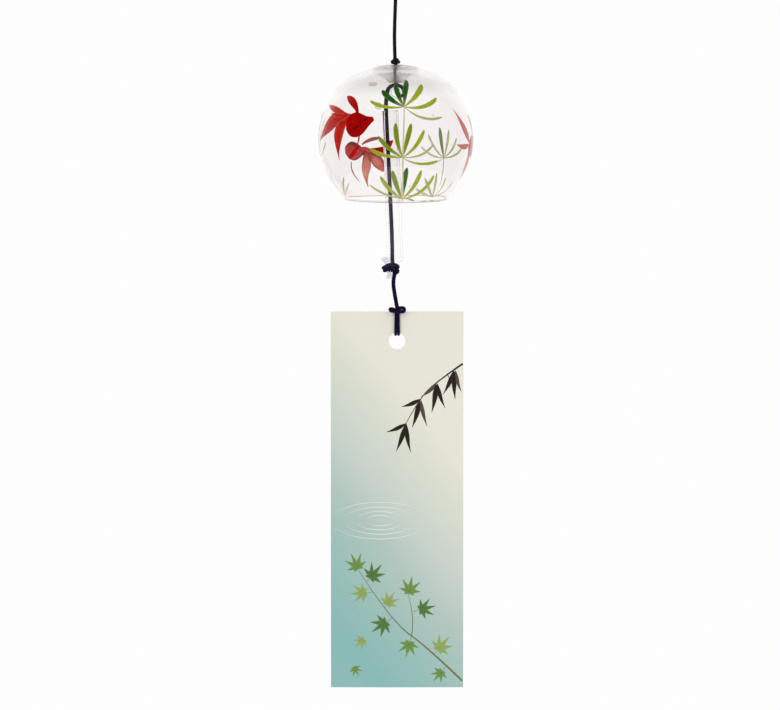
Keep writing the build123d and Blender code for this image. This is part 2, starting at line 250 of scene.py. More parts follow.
def braid_height(turn, run):
    # from 0 in the grooves to 1 on the strands of a plaited cord: turn counts turns round it, and
    # run counts strand widths along it
    one, other = braid_strands * turn + run, braid_strands * turn - run
    over = (np.floor(one) + np.floor(other)) % 2 < 1
    across = np.where(over, one, other) % 1 - 0.5
    along = np.where(over, other, one) % 1 - 0.5
    return np.sqrt(1 - braid_roundness * across ** 2) * np.cos(braid_dip * pi * along)


def cord_part(line, diameter):
    # a braided tube with rounded ends along a line
    radius = diameter / 2
    headings, firsts, seconds = sides_along(line)
    reach = [sin(radians(angle)) for angle in cord_end_angles]
    rings = [(0, -share) for share in reach]
    rings += [(place, 0.0) for place in range(len(line))]
    rings += [(len(line) - 1, share) for share in reversed(reach)]
    turns = np.arange(cord_sides) / cord_sides
    across, up = np.cos(2 * pi * turns)[:, None], np.sin(2 * pi * turns)[:, None]
    run = runs_along(line)
    strand_width = pi * diameter / braid_strands
    points, tones = [], []
    for index, ahead in rings:
        out = sqrt(1 - ahead ** 2)
        height = braid_height(turns, (run[index] + ahead * radius) / strand_width)
        ring_r = radius * out * strand_swell * (1 - braid_depth_share * (1 - height))
        spokes = firsts[index] * across + seconds[index] * up
        points.append(line[index] + headings[index] * radius * ahead + spokes * ring_r[:, None])
        tones.append(height)
    faces, corners = grid(len(rings), cord_sides, round_columns=True)
    close_ends(faces, corners, len(rings), cord_sides, (0.5, 0), (0.5, 1))
    return np.concatenate(points), faces, corners, np.concatenate(tones)


def cord_piece(name, body, nodes, diameter, *lines):
    points, faces, corners, tones = joined([cord_part(line, diameter) for line in lines])
    made = mesh_object(name, points, faces, materials["cord"], corners, height=tones)
    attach(made, body)
    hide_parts(*nodes)
    return made


def leaning(degrees):
    # the way up, leaning so far to the left
    return -sin(radians(degrees)), 0, cos(radians(degrees))


def coil(centre, axis, across, radius, pitch, start, turns, way):
    # points of a wrap round an axis; start and turns are in whole turns from across, and the wrap
    # climbs the axis by the pitch each turn, half below the centre and half above
    centre, axis, across = np.array(centre), unit(np.array(axis)), unit(np.array(across))
    third = np.cross(axis, across)
    places = []
    for i in range(round(turns * coil_steps) + 1):
        turn = i / coil_steps
        angle = 2 * pi * (start + way * turn)
        ring = across * cos(angle) + third * sin(angle)
        places.append(centre + ring * radius + axis * pitch * (turn - turns / 2))
    return places


# Materials
def new_material(name, **sockets):
    # a Principled material; a socket's name is given with its spaces as underscores
    made = bpy.data.materials.new(name)
    made.use_nodes = True
    shader = made.node_tree.nodes["Principled BSDF"]
    for key, value in sockets.items():
        shader.inputs[key.replace("_", " ")].default_value = value
    return made, made.node_tree, shader


def add_node(tree, kind, inputs=None, **settings):
    # a shader node with its settings; inputs gives each socket a value or the output that feeds it
    made = tree.nodes.new("ShaderNode" + kind)
    for key, value in settings.items():
        setattr(made, key, value)
    for key, value in (inputs or {}).items():
        socket = made.inputs[key]
        if isinstance(value, bpy.types.NodeSocket):
            tree.links.new(value, socket)
        else:
            socket.default_value = value
    return made


def add_ramp(tree, factor, stops):
    # a colour ramp with (place, (r, g, b)) stops
    made = add_node(tree, "ValToRGB", {"Fac": factor})
    ramp = made.color_ramp
    while len(ramp.elements) < len(stops):
        ramp.elements.new(0.5)
    for element, (place, colour) in zip(ramp.elements, stops):
        element.position = place
        element.color = (*colour, 1)
    return made.outputs["Color"]


def attribute(tree, name, output="Fac"):
    # what the mesh carries under a name
    return add_node(tree, "Attribute", attribute_name=name).outputs[output]


def calculate(tree, operation, *values):
    found = add_node(tree, "Math", dict(enumerate(values)), operation=operation)
    return found.outputs["Value"]


def map_range(tree, value, start, end, low=0.0, high=1.0):
    # a value between start and end taken to between low and high
    ends = {"Value": value, "From Min": start, "From Max": end, "To Min": low, "To Max": high}
    return add_node(tree, "MapRange", ends).outputs["Result"]


def mix_colours(tree, share, first, second):
    mix = {"Fac": share, "Color1": first, "Color2": second}
    return add_node(tree, "MixRGB", mix).outputs["Color"]


def add_bump(tree, shader, height, strength, distance):
    bump = {"Height": height, "Strength": strength, "Distance": distance}
    made = add_node(tree, "Bump", bump)
    tree.links.new(made.outputs["Normal"], shader.inputs["Normal"])


def object_place(tree):
    return add_node(tree, "TexCoord").outputs["Object"]


def add_noise(tree, scale, detail, vector=None):
    inputs = {"Scale": scale, "Detail": detail, "Vector": vector or object_place(tree)}
    return add_node(tree, "TexNoise", inputs).outputs["Fac"]


def glass_material(name, colour, roughness, bend, ripple, ground=False):
    # clear glass whose surface ripples a little; bend is its index of refraction, and where it is
    # ground its roughness and its tone come with the mesh
    made, tree, shader = new_material(
        name, Base_Color=(*colour, 1), Roughness=roughness, IOR=bend, Transmission_Weight=1.0
    )
    add_bump(tree, shader, add_noise(tree, 60, 2.0), 1.0, ripple)
    if ground:
        tree.links.new(attribute(tree, "ground"), shader.inputs["Roughness"])
        # its darkest tone is the painted shade of the dark line along the rim
        tones = [(0.0, (0.14, 0.135, 0.12)), (0.5, (0.84, 0.82, 0.805)), (1.0, colour)]
        shade = add_ramp(tree, attribute(tree, "tone"), tones)
        tree.links.new(shade, shader.inputs["Base Color"])
    return made


# tones of the cord's grooves, with their painted shade, and of its strands: nearly black above the
# glass, and then between two heights it turns pale in the frosted hole, dusky in the crown and grey
# inside the clapper tube, which are painted light and shade of the glass round it there, and blue below
# it
upper_tones = (0.0014, 0.0011, 0.0024), (0.0095, 0.008, 0.016)
cord_tones = [
    (-64.5, -65.5, (0.20, 0.19, 0.20), (0.34, 0.33, 0.34)),
    (-70.0, -71.2, (0.016, 0.015, 0.026), (0.050, 0.047, 0.068)),
    (-95.0, -125.0, (0.030, 0.027, 0.036), (0.092, 0.084, 0.110)),
    (-155.0, -166.0, (0.0006, 0.0004, 0.005), (0.0048, 0.0034, 0.034)),
]


def cord_material():
    # matt braid, with painted shade in its grooves and lighter painted strand tops
    made, tree, shader = new_material(
        "cord_navy", Roughness=0.85, Specular_IOR_Level=0.12, Sheen_Weight=0.01, Sheen_Roughness=0.5
    )
    fibre = add_noise(tree, 3500, 2.0)
    # the strands' height paints shade into the grooves and light onto the strand tops, mixed with fibre
    # noise
    fibre_and_groove_shade = calculate(tree, "MULTIPLY_ADD", fibre, 0.4, attribute(tree, "height"))
    down = add_node(tree, "SeparateXYZ", {"Vector": object_place(tree)}).outputs["Z"]
    shaded_groove, strand = upper_tones
    colour = add_ramp(tree, fibre_and_groove_shade, [(0.3, shaded_groove), (1.0, strand)])
    for start, end, shaded_groove, strand in cord_tones:
        share = map_range(tree, down, start * MM, end * MM)
        next_colour = add_ramp(tree, fibre_and_groove_shade, [(0.3, shaded_groove), (1.0, strand)])
        colour = mix_colours(tree, share, colour, next_colour)
    tree.links.new(colour, shader.inputs["Base Color"])
    add_bump(tree, shader, fibre, 0.6, 0.00008)
    return made


grain_tone = (0.85, 0.30, 0.18, 1)


def paint_material(name, gloss, streak, speckle):
    # brush paint: its colour comes with the stroke, hair-fine streaks run along it, and speckle is
    # the share of light grains in it. On the glass it has no gloss of its own
    made, tree, shader = new_material(name, Roughness=0.45, Specular_IOR_Level=gloss)
    along = add_node(tree, "UVMap", uv_map="UVMap").outputs["UV"]
    stretch = {"Vector": along, "Scale": (9.0, 1.2, 1.0)}
    stretched = add_node(tree, "Mapping", stretch).outputs["Vector"]
    hairs = add_noise(tree, 2.0, 3.0, stretched)
    value = map_range(tree, hairs, 0.3, 0.7, 1 - streak, 1 + streak)
    tint = {"Value": value, "Color": attribute(tree, "paint", "Color")}
    tinted = add_node(tree, "HueSaturation", tint).outputs["Color"]
    if speckle:
        grains = map_range(tree, add_noise(tree, 1400, 1.0), 0.62, 0.70, 0.0, speckle)
        tinted = mix_colours(tree, grains, tinted, grain_tone)
    tree.links.new(tinted, shader.inputs["Base Color"])
    add_bump(tree, shader, hairs, 0.4, 0.00003)
    return made


def card_material():
    # a printed wash from cream at the top right to pale aqua at the lower left, on smooth card
    made, tree, shader = new_material("card_wash", Roughness=0.42, Coat_Weight=0.06)
    split = add_node(tree, "SeparateXYZ", {"Vector": object_place(tree)})
    low, high, half = (strip_top - strip_h) * MM, strip_top * MM, strip_w / 2 * MM
    down = map_range(tree, split.outputs["Z"], high, low, 0.0, wash_down)
    left = map_range(tree, split.outputs["X"], half, -half, -wash_left, wash_left)
    drift = calculate(tree, "MULTIPLY_ADD", add_noise(tree, 14, 3.0), wash_drift, -wash_drift / 2)
    place = calculate(tree, "ADD", calculate(tree, "ADD", down, left), drift)
    tree.links.new(add_ramp(tree, place, wash_stops), shader.inputs["Base Color"])
    add_bump(tree, shader, add_noise(tree, 1800, 3.0), 0.25, 0.000015)
    return made


# how far the wash goes down the card, to either side and in its blotches, and its tones
wash_down = 0.83
wash_left = 0.18
wash_drift = 0.10
wash_stops = [
    (0.0, (0.715, 0.70, 0.607)),
    (0.165, (0.70, 0.69, 0.594)),
    (0.265, (0.61, 0.642, 0.551)),
    (0.42, (0.515, 0.577, 0.521)),
    (0.56, (0.389, 0.503, 0.458)),
    (0.70, (0.285, 0.465, 0.43)),
    (0.86, (0.212, 0.437, 0.418)),
    (0.97, (0.227, 0.443, 0.424)),
]

materials = {
    "glass": glass_material("glass_blown", (0.962, 0.948, 0.942), 0.0, 1.34, 0.00008, ground=True),
    "tube": glass_material("glass_tube", (0.998, 0.998, 0.998), 0.0, 1.32, 0.00012),
    "bubble": glass_material("glass_bubble", (0.72, 0.70, 0.67), 0.25, 1.08, 0.0001),
    "rod": glass_material("clear_rod", (0.93, 0.92, 0.95), 0.02, 1.45, 0.0002),
    "vinyl": glass_material("clear_vinyl", (0.88, 0.88, 0.92), 0.05, 1.5, 0.0003),
    "cord": cord_material(),
    "paint": paint_material("glass_paint", 0.0, 0.16, 0.0),
    "fin_paint": paint_material("glass_paint_grainy", 0.0, 0.2, 0.5),
    "ink": paint_material("printed_ink", 0.3, 0.18, 0.0),
    "card": card_material(),
}


# Hanging loop and its knot
hook_line = smooth([
    (1, 0, -25.1), (3, 0, -13), (5, 0, -4.6), (3.3, 0, 0.8),
    (-3.3, 0, 0.8), (-5, 0, -4.6), (-3, 0, -13), (-1, 0, -25.1),
])
hook_loop = cord_piece("hook_loop_cord", "hook_loop", ["hang_loop"], cord_d, hook_line)
knot_turns = coil((0, 0, -25.8), (0, 0, 1), (1, 0, 0), 1.6, 1.55, 0.1, 2, 1)
loop_knot = cord_piece(
    "hook_loop_knot", "hook_loop", ["loop_knot"], cord_d,
    smooth([(0.6, 0.3, -28), *knot_turns, (0.3, -0.2, -24)]),
    smooth([(0, 0, -25), (0, 0, -26.5), (0, 0, -28.5)]),
)

# Taut cord down to the glass
hanging_line = smooth([(0, 0, -28.5), (-0.45, 0, -40), (-0.7, 0, -52), (-0.35, 0, -60.6)])
hanging = cord_piece("hanging_line", "hanger", ["hanging_cord"], cord_d, hanging_line)

# Knot above the glass: one turn round the cord that goes on into the hole
crown_turn = coil((-0.1, 0, -62), (0, 0, 1), (1, 0, 0), 1.5, 0.3, 0.65, 1.5, -1)
upper_turn = coil((-0.1, 0, -61.2), (0, 0, 1), (1, 0, 0), 0.8, 0.4, 0.2, 1.2, -1)
crown_knot = cord_piece(
    "crown_turn", "crown", ["crown_knot"], cord_d,
    smooth([(-0.2, 0, -60.3), (0, 0, -61.6), (0, 0, -64.3)]),
    smooth([*crown_turn, (0.5, 0.5, -61.2)]), smooth(upper_turn),
)

# Cord through the hole, and its wrap on the rod
hole_line = smooth([(0, 0, -64.3), (0, 0, -67.5), (0, 0, -71.3)])
cord_piece("hole_line", "rod", ["hole_cord"], slack_cord_d, hole_line)
hitch_turns = coil(rod_centre, (0, -1, 0), (1, 0, 0), wrap_r, wrap_pitch, -0.02, 0.52, 1)
cord_piece(
    "rod_wrap", "clapper", ["toggle_hitch"], slack_cord_d,
    smooth([(1.4, 3.2, -78.4), (3.2, 2.4, -78.6), *hitch_turns, (-4.3, -0.9, -77.4)]),
)

# Cord from the wrap through the clapper tube and the stopper to the strip's knot
inner_line = smooth([
    (-4.25, -0.8, -76.5), (-4.95, -1.05, -81), (-4.7, -0.8, -90), (-3.4, -0.65, -114),
    (-2.4, -0.5, -137), (-1.75, -0.3, -152), (-1.75, -0.3, -163.1), (-0.35, -0.1, -167.1),
    (-1.25, -0.1, -171.2), (-0.95, 0, -176), (0.7, 0, -184.6),
])
inner_cord = cord_piece(
    "inner_line", "clapper", ["clapper_cord", "strip_cord"], slack_cord_d, inner_line
)

# Stopper: the cord goes behind the pinched pipe, twice round its waist and back over the front
stopper_turns = coil(
    pipe_centre, leaning(band_tilt), leaning(band_tilt - 90), stopper_wrap_r, band_pitch, 0.25, 1.5, 1
)
stopper_line = smooth([
    (-1.75, -0.3, -161.4), (-1.7, -0.1, -162.9), (-0.9, 0.9, -164.6), (-0.9, 3.2, -166),
    (-2.2, 4.9, -166.6), *stopper_turns, (-2.6, 0.2, -163), (-0.6, -0.9, -163.1),
    (1.2, -0.5, -163.9), (1, 1.5, -165), (-0.9, 1.5, -165.8), (-1.2, -0.8, -165.9),
    (0.8, -1.3, -165.6), (1.2, 0.3, -166.9), (-0.5, 0.5, -167.6), (-0.8, -0.1, -169.4),
])
stopper_knot = cord_piece(
    "stopper_wrap", "clapper", ["stopper_knot"], knot_cord_d, stopper_line
)

# Knot over the strip: a round loop to the right and a pointed one to the left
strip_knot_line = smooth([
    (0.6, -0.2, -183.8), (0.9, -0.7, -184.9), (2.6, -0.9, -184.8), (4.3, -0.4, -184.9),
    (4.3, 0.6, -186.6), (2.6, 0.9, -187), (0.4, 0.9, -186.2), (-1.4, 0.6, -185.5),
    (-2.9, 0, -185.3), (-2.6, -0.6, -186.2), (-0.9, -0.9, -186.5), (0.9, -1, -186.5),
    (2, -0.9, -186.2), (2, 0.2, -185.6), (0.7, 0.8, -186.6),
])
strip_knot = cord_piece(
    "strip_knot_cord", "strip_top", ["strip_knot"], knot_cord_d, strip_knot_line
)


def strand_route(side):
    # down in front of the card, through its hole, up behind it and over its top edge to the knot
    end, near, wide = [strip_x + side * gap for gap in strand_gaps]
    return [
        (end, 0.4, -187), (near, 1.1, -187.8), (near, 1.1, -190),
        (wide, 1.1, -195.5), (wide, 1, -198.4), (wide, 3.3, -198.4), (wide, 3.2, -195),
        (near, 3.2, -188.5), (near, 3.2, -186.1), (near, 2.2, -186.1), (strip_x, 0.7, -187),
    ]


cord_piece(
    "strip_strands", "strip", ["strip_loop"], strand_d,
    *[smooth(strand_route(side)) for side in (-1, 1)],
)


# Glass bell
def arc_points(centre_x, centre_z, radius, first, last, count):
    angles = np.linspace(first, last, count)
    return [(centre_x + radius * cos(t), centre_z + radius * sin(t)) for t in angles]


def oval_points(side_r, rise, level, low_angle, crown_x):
    # half outline from the mouth up to radius crown_x: side, shoulder and crown arcs
    a, b = radians(side_angle), radians(crown_angle)
    share = sin(a) + cos(a) * (1 - sin(b)) / cos(b)
    shoulder_r = (rise - side_r * share) / (1 - share)
    shoulder_x, shoulder_z = (side_r - shoulder_r) * cos(a), (side_r - shoulder_r) * sin(a)
    crown_r = shoulder_r + shoulder_x / cos(b)
    crown_z = shoulder_z - (crown_r - shoulder_r) * sin(b)
    c = acos(crown_x / crown_r)
    side_steps, shoulder_steps, crown_steps = arc_steps
    side = arc_points(0, level, side_r, -low_angle, a, side_steps)
    shoulder = arc_points(shoulder_x, level + shoulder_z, shoulder_r, a, b, shoulder_steps)
    crown = arc_points(0, level + crown_z, crown_r, b, c, crown_steps)
    return side + shoulder[1:] + crown[1:]


level_z = bell_top - bell_rise
low_angle = acos(rim_r / bell_r)
rim_z = level_z - bell_r * sin(low_angle)
inner_r = bell_r - wall
inner_low = acos(sqrt(inner_r ** 2 - (level_z - rim_z) ** 2) / inner_r)
outer_half = oval_points(bell_r, bell_rise, level_z, low_angle, hole_r + hole_round)
inner_half = oval_points(inner_r, bell_rise - seen_crown_wall, level_z, inner_low, lip_root_r)
rim_curve = (0.1, 0.1), (0.45, -0.02), (1.0, -0.08)
rim_face = [(outer_half[0][0] - rim_round * share, rim_z + lift) for share, lift in rim_curve]
rim_back = [(inner_half[0][0] + rim_round * share, rim_z + lift) for share, lift in rim_curve[::-1]]
hole_top = outer_half[-1][1]
hole_edge = arc_points(hole_r + hole_round, hole_top - hole_round, hole_round, pi / 2, pi, 6)
lip_edge = [(hole_r + 0.05, lip_z + 0.3), (hole_r + 0.3, lip_z + 0.02), (lip_end_r - 0.4, lip_z),
            (lip_end_r - 0.1, lip_z + 0.12), (lip_end_r + 0.1, lip_z + 0.4)]
inner_down = [(r, z) for r, z in inner_half[::-1] if r > funnel_r]
foot_r, foot_z = lip_edge[-1]
root_z = inner_down[0][1]
funnel = [(foot_r + (funnel_r - lip_end_r) * share,
           foot_z + (root_z - foot_z) * (1 - (1 - share) ** 3))
          for share in funnel_shares]
bell_profile = (
    rim_back + rim_face[::-1] + outer_half[1:] + hole_edge[1:] + lip_edge + funnel + inner_down[:-1]
)
inner_heights = np.array([z for r, z in inner_half])
inner_radii = np.array([r for r, z in inner_half])


def lathe(name, profile, material, steps, uneven=None):
    # a closed profile of (radius, z) turned round the Z axis
    angles = np.arange(steps) * 2 * pi / steps
    points = np.array([(r * cos(t), r * sin(t), z) for r, z in profile for t in angles])
    attributes = {}
    if uneven is not None:
        points, attributes["ground"], attributes["tone"] = uneven(points)
    faces, corners = grid(len(profile), steps, round_rows=True, round_columns=True)
    return mesh_object(name, points, faces, material, corners, **attributes)


def blown(points):
    # hand-blown glass: a slightly uneven wall, and a rim cut a little off level. The rough poked
    # hole, the crown round it and the front of the cut rim are ground
    angle = np.arctan2(points[:, 1], points[:, 0])
    out, height = np.hypot(points[:, 0], points[:, 1]), points[:, 2]
    hole = (height > lip_z - hole_zone) & (height < hole_top - hole_round)
    dome = height > lip_z + hole_zone
    front_rim = (height < rim_z + rim_edge) & (points[:, 1] < 0)
    ground = hole_ground * np.clip((funnel_r - out) / hole_zone, 0, 1) * hole
    ground = np.maximum(ground, np.where(front_rim, rim_ground, 0.0))
    ground = np.maximum(ground, dome_ground * np.clip((dome_r - out) / dome_fade, 0, 1) * dome)
    # the thick crown is a little greyer, and along the cut rim runs a dark line of painted shade, less
    # on the far side
    far = np.clip(0.5 + points[:, 1] / rim_r, 0, 1)
    rim_shade_line = (height < rim_z + rim_shade_height) & (out > rim_r - rim_shade_walls * wall)
    tone = 1 - crown_grey * np.clip((height - grey_z) / grey_fade, 0, 1)
    tone = np.where(rim_shade_line, far, tone)
    low = np.clip((rim_z + uneven_height - height) / uneven_height, 0, 1)
    two, three = uneven_wall
    swell = 1 + two * np.sin(2 * angle + 0.6) + three * np.sin(3 * angle - height / 9)
    points[:, 0] *= swell
    points[:, 1] *= swell
    points[:, 2] += low * uneven_rim * np.sin(angle * 2 + 1.0)
    return points, ground, tone


bell = lathe("blown_bell", bell_profile, materials["glass"], bell_steps, blown)
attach(bell, "bell")
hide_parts("glass_bell")


def bubble_part(turn, z, out, across, up, through):
    # an air pocket in the glass wall: turn in degrees from the front, height, radius from the axis,
    # and half sizes across, up and through the wall
    sides, rings = bubble_grid
    angle = radians(turn)
    side, axis = np.array([cos(angle), sin(angle), 0]), np.array([sin(angle), -cos(angle), 0])
    points = []
    for ring in range(1, rings):
        for step in range(sides):
            tilt, spin = pi * ring / rings, 2 * pi * step / sides
            points.append(
                axis * (out + through * cos(tilt)) + side * across * sin(tilt) * cos(spin)
                + np.array([0, 0, z + up * sin(tilt) * sin(spin)]))
    faces, corners = grid(rings - 1, sides, round_columns=True)
    close_ends(faces, corners, rings - 1, sides, (0.5, 0.5), (0.5, 0.5))
    return np.array(points), [face[::-1] for face in faces], corners, np.ones(len(points))


bubble_grid = 14, 8
points, faces, corners, _ = joined([bubble_part(*row) for row in (
    (-27, -72.6, 24.6, 2.5, 1, 0.45), (-15, -82.6, 33.3, 1.8, 1.8, 0.25),
    (38, -80, 31.5, 0.5, 0.4, 0.2), (66, -97, 39.4, 0.35, 0.5, 0.2),
    (-52, -118, 35.2, 0.4, 0.3, 0.2), (12, -122, 32.6, 0.3, 0.4, 0.2),
    (150, -90, 38.3, 0.4, 0.6, 0.25), (-140, -106, 38.9, 0.35, 0.35, 0.2),
    (100, -116, 36.3, 0.5, 0.35, 0.2),
)])
bubbles = mesh_object("glass_bubbles", points, faces, materials["bubble"], corners)
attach(bubbles, "bell")


# Clear rod, clapper tube and stopper pipe
def turned(name, profile, material, middle, way):
    # a closed profile of (radius, height) turned round a tilted axis
    made = lathe(name, profile, material, turned_steps)
    turn = Vector((0, 0, 1)).rotation_difference(Vector(way)).to_matrix().to_4x4()
    made.data.transform(Matrix.Translation(Vector(middle) * MM) @ turn)
    return made


def open_pipe(radius, bore, length, edge):
    # profile of a pipe with rounded lips
    outside, inside, height = radius - edge, bore + edge, length / 2 - edge
    middles = (outside, height), (inside, height), (inside, -height), (outside, -height)
    profile = []
    for quarter, (x, z) in enumerate(middles):
        first, last = quarter * pi / 2, (quarter + 1) * pi / 2
        profile += arc_points(x, z, edge, first, last, edge_steps)
    return profile


rod = turned("rod_clear", open_pipe(rod_r, rod_bore_r, rod_length, rod_edge), materials["rod"],
             rod_centre, (0, -1, 0))
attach(rod, "rod")
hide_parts("crown_rod")

tube_way = Vector(leaning(tube_tilt))
tube = turned("tube_clear", open_pipe(tube_r, tube_bore_r, tube_length, tube_edge), materials["tube"],
              tube_top - tube_way * tube_length / 2, tube_way)
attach(tube, "tube")
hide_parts("clapper_tube")


def pinched_pipe():
    # profile of the stopper pipe, wide at both ends and narrow at the waist
    half, waist = pipe_length / 2, pipe_waist_length / 2
    heights = np.linspace(-half, half, pinch_rows)
    share = np.clip((np.abs(heights) - waist) / pipe_flare_length, 0, 1)
    radii = pipe_waist_r + (pipe_r - pipe_waist_r) * share ** 2 * (3 - 2 * share)
    outside = list(zip(radii, heights))
    return outside + [(r - pipe_wall, h) for r, h in outside[::-1]]


pipe = turned("stopper_clear", pinched_pipe(), materials["vinyl"], pipe_centre,
              leaning(pipe_tilt))
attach(pipe, "clapper")
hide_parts("stopper_pipe")


# Paper strip: a bowed card with a punched hole
card_bow = 0.5
card_lean = 0.35
hole_z = strip_top - hole_drop
patch_reach = 8.3       # half the side of the square patch of rings round the hole
patch_cells = 12
margin_columns = 7
top_rows = 3
body_rows = 42
ring_shares = 0.35, 0.65, 0.85, 1.0


def card_bend(x, z):
    # how far the card's middle surface stands from flat, away from the viewer
    across = (x - strip_x) / strip_w
    down = (strip_top - z) / strip_h
    return card_bow * (4 * across ** 2) * down - card_lean * np.sin(pi * down) * down


def card_point(x, z, lift):
    # a place on the card, lift in front of its middle surface
    return x, strip_y + card_bend(x, z) - lift, z


def card_grid():
    # columns and rows of the card's grid, with the square patch round the hole between them
    patch = np.linspace(-patch_reach, patch_reach, patch_cells + 1)[1:-1]
    xs = strip_x + np.concatenate([
        np.linspace(-strip_w / 2, -patch_reach, margin_columns), patch,
        np.linspace(patch_reach, strip_w / 2, margin_columns)])
    zs = np.concatenate([
        np.linspace(strip_top, hole_z + patch_reach, top_rows), hole_z - patch,
        np.linspace(hole_z - patch_reach, strip_top - strip_h, body_rows)])
    return xs, zs


def ring_round(columns, top, left, bottom, right):
    # the points of a grid that go round a rectangle in it
    ring = [(top, column) for column in range(left, right)]
    ring += [(row, right) for row in range(top, bottom)]
    ring += [(bottom, column) for column in range(right, left, -1)]
    ring += [(row, left) for row in range(bottom, top, -1)]
    return [row * columns + column for row, column in ring]


def card_mesh():
    xs, zs = card_grid()
    columns, rows = len(xs), len(zs)
    left, top = margin_columns - 1, top_rows - 1
    right, bottom = left + patch_cells, top + patch_cells
    flat_points = [(x, z) for z in zs for x in xs]
    faces = []
    for row in range(rows - 1):
        for column in range(columns - 1):
            start = row * columns + column
            if not (top <= row < bottom and left <= column < right):
                faces.append([start, start + columns, start + columns + 1, start + 1])
    previous = ring_round(columns, top, left, bottom, right)
    edge = [flat_points[index] for index in previous]
    for share in ring_shares:
        current = []
        for x, z in edge:
            out = np.array([x - strip_x, z - hole_z])
            spot = out * (1 - share) + unit(out) * strip_hole_r * share
            current.append(len(flat_points))
            flat_points.append((strip_x + spot[0], hole_z + spot[1]))
        for i in range(len(edge)):
            after = (i + 1) % len(edge)
            faces.append([previous[i], previous[after], current[after], current[i]])
        previous = current
    count = len(flat_points)
    points = [card_point(x, z, lift) for lift in (strip_t / 2, -strip_t / 2) for x, z in flat_points]
    faces += [[index + count for index in face[::-1]] for face in faces]
    for loop, way in ((ring_round(columns, 0, 0, rows - 1, columns - 1), 1), (previous, -1)):
        for i in range(len(loop)):
            a, b = loop[i], loop[(i + 1) % len(loop)]
            faces.append([a, a + count, b + count, b][::-way])
    return points, faces


card_points, card_faces = card_mesh()
card = mesh_object("card", card_points, card_faces, materials["card"], flat=True)
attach(card, "strip")
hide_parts("paper_strip")


# Brush strokes
stroke_step = 0.4
stroke_across = 7       # points across one
stroke_skin = 0.005     # its least thickness
swelling_steps = 25
tip_floor = 0.01        # keeps its tip from closing
top_layer = 3
paint_t = 0.05
paint_lift = 0.03       # of the layer that is nearest to the glass
layer_lift = 0.05
ink_t = 0.02
ink_lift = 0.01
def glass_point(turn, z, lift):
    # a place inside the glass, turn in radians from the front towards +X, lift away from the wall
    radius = np.interp(z, inner_heights, inner_radii) - lift
    return radius * np.sin(turn), -radius * np.cos(turn), z


def glass_spot(point):
    return np.arctan2(point[0], -point[1]), point[2]


def card_spot(point):
    return point[0], point[2]


def stroke_part(surface, spots, widths, colours, thickness, thin_edge):
    # a brush stroke on a surface: spots are its middle line, widths and colours go along it, and
    # thin_edge says how much paler the paint is at its edges
    place, spot_of, lift = surface
    line = smooth([place(*spot, lift) for spot in spots], stroke_step)
    shares = np.linspace(0, 1, len(line))
    half = np.interp(shares, np.linspace(0, 1, len(widths)), widths) / 2
    tint = np.column_stack([
        np.interp(shares, np.linspace(0, 1, len(colours)), [colour[i] for colour in colours])
        for i in range(3)])
    headings = unit(np.gradient(line, axis=0))
    points, tints = [], []
    for point, heading, reach, colour in zip(line, headings, half, tint):
        u, v = spot_of(point)
        normal = unit(np.array(place(u, v, lift + 1)) - np.array(place(u, v, lift)))
        side = unit(np.cross(heading, normal))
        for skin in (0, 1):
            for across in np.linspace(-1, 1, stroke_across)[::1 - 2 * skin]:
                at = spot_of(point + side * across * reach)
                crown = thickness * sqrt(max(0, 1 - across ** 2)) * skin
                points.append(place(*at, lift + crown + stroke_skin * skin))
                tints.append(colour + (1 - colour) * thin_edge * across ** 4)
    faces, corners = grid(len(line), 2 * stroke_across, round_columns=True)
    close_ends(faces, corners, len(line), 2 * stroke_across, (0, 0), (0, 0))
    return np.array(points), faces, corners, np.array(tints)


def painted(name, body, material, parts):
    points, faces, corners, tints = joined(parts)
    made = mesh_object(name, points, faces, materials[material], corners, paint=tints)
    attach(made, body)


def swelling(width, base, widest):
    # widths of a stroke that starts at a share of its width, is widest part way and ends round
    found = []
    for share in np.linspace(0, 1, swelling_steps):
        if share < widest:
            found.append(width * (base + (1 - base) * sin(pi / 2 * share / widest)))
        else:
            found.append(width * sqrt(max(tip_floor, 1 - ((share - widest) / (1 - widest)) ** 2)))
    return found


def seen(x, z, back=False):
    # the spot of the inner wall, front or back, that the viewer sees at x and z of the cord's plane
    spot_x, spot_z = x, z
    for _ in range(4):
        radius = np.interp(spot_z, inner_heights, inner_radii)
        depth = sqrt(max(0, radius ** 2 - spot_x ** 2)) * (1 if back else -1)
        share = -depth / eye.y
        spot_x, spot_z = x + (x - eye.x) * share, z + (z - eye.z) * share
    turn = asin(max(-1, min(1, spot_x / radius)))
    return (pi - turn if back else turn), spot_z


def glass_stroke(wall, spots, widths, colours, layer=0, thin_edge=0.1):
    # a stroke on the front or the back wall of the glass, where the viewer sees its spots, or on
    # its side, where they are degrees from the front and heights. A higher layer covers others, so
    # it is nearer to the glass, or further from it on the back wall
    if wall == "side":
        spots = [(radians(turn), z) for turn, z in spots]
    else:
        spots = [seen(*spot, wall == "back") for spot in spots]
    layers = layer if wall == "back" else top_layer - layer
    surface = glass_point, glass_spot, paint_lift + layer_lift * layers
    return stroke_part(surface, spots, widths, colours, paint_t, thin_edge)


# Waterweed: three whorls up one stem in front, and paler ones on the back wall
dark_leaf = (0.024, 0.165, 0.002)
mid_leaf = (0.31, 0.41, 0.010)
light_leaf = (0.52, 0.63, 0.020)
pale_leaf = (0.70, 0.67, 0.26)
stem_tone = (0.96, 0.90, 0.52)
dark_weed = (0.28, 0.40, 0.15)
pale_weed = (0.72, 0.80, 0.36)
faint_weed = (0.90, 0.93, 0.60)

